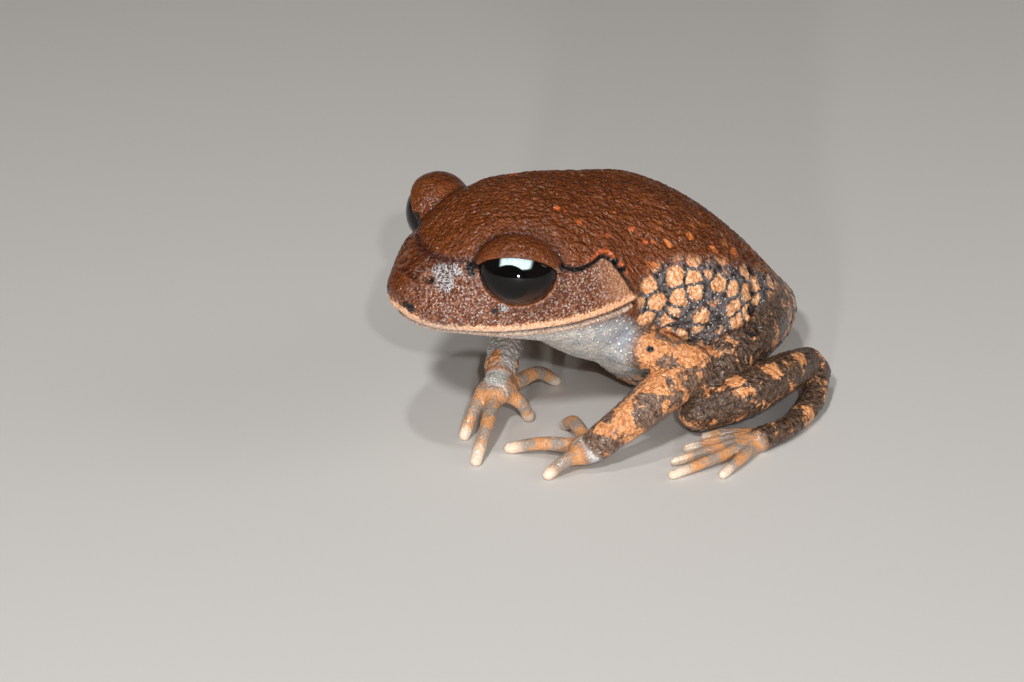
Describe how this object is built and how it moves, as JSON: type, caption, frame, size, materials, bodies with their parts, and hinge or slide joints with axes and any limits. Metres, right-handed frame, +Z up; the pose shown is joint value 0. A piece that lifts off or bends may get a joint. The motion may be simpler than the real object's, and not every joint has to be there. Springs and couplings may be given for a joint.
{
  "type": "spadefoot toad model",
  "caption": "Still, life-size model of a small spadefoot toad, crouched with its head and front raised on spread fingers.",
  "frame": {"origin": "middle of the box's underside, on the floor that the toad rests on", "axes": "+Z up, -Y the way the snout points, +X the toad's left side"},
  "size_m": [0.0448, 0.048, 0.0251],
  "materials": {
    "skin_back": "moist, finely wrinkled reddish brown skin",
    "skin_throat": "moist grey-blue skin with pale granules",
    "skin_limbs": "moist granular skin, orange with grey-brown bands",
    "eye": "wet, glossy black"
  },
  "bodies": {
    "root": {"head": "skin_back", "lower_jaw": "skin_throat", "torso": "skin_back", "eye_l": "eye", "eye_r": "eye", "upper_arm_l": "skin_limbs", "forearm_l": "skin_limbs", "hand_l": "skin_limbs", "upper_arm_r": "skin_limbs", "forearm_r": "skin_limbs", "hand_r": "skin_limbs", "thigh_l": "skin_limbs", "shank_l": "skin_limbs", "foot_l": "skin_limbs", "thigh_r": "skin_limbs", "shank_r": "skin_limbs", "foot_r": "skin_limbs"}
  },
  "joints": []
}
